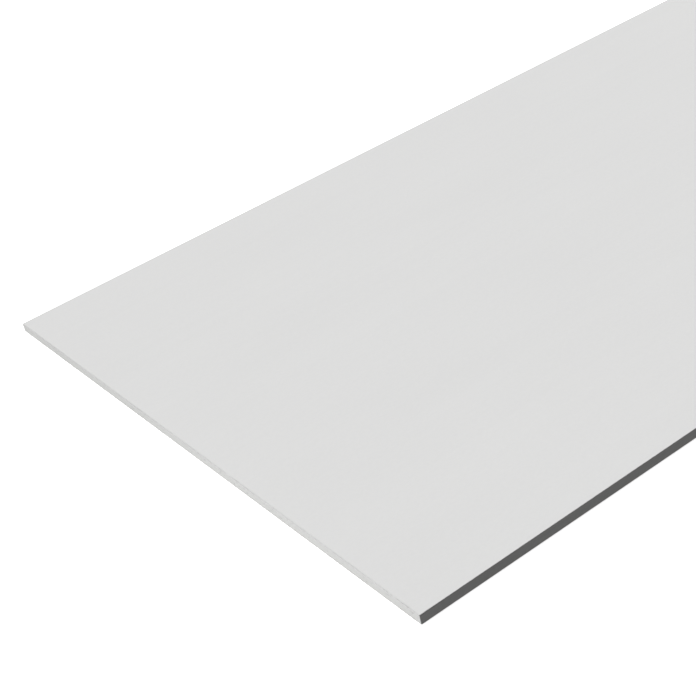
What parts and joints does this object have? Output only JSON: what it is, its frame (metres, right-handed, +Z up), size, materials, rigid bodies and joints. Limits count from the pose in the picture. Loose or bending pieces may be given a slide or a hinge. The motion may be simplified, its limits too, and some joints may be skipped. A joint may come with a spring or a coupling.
{
  "type": "drywall sheet",
  "caption": "Flat rectangular sheet of drywall: a gypsum core in smooth face paper folded round both long edges, with a lapped back paper and square-cut ends.",
  "frame": {"origin": "middle of the back paper's outer face, on the floor that the sheet lies on; it is the bottom centre of the box", "axes": "+X along the sheet's length, +Y across its width, +Z up, out of the face"},
  "size_m": [1.8, 0.9, 0.0125],
  "materials": {
    "gypsum": "matte",
    "face_paper": "matte",
    "back_paper": "matte"
  },
  "bodies": {
    "root": {"gypsum_core": "gypsum", "face_paper": "face_paper", "back_paper": "back_paper"}
  },
  "joints": []
}
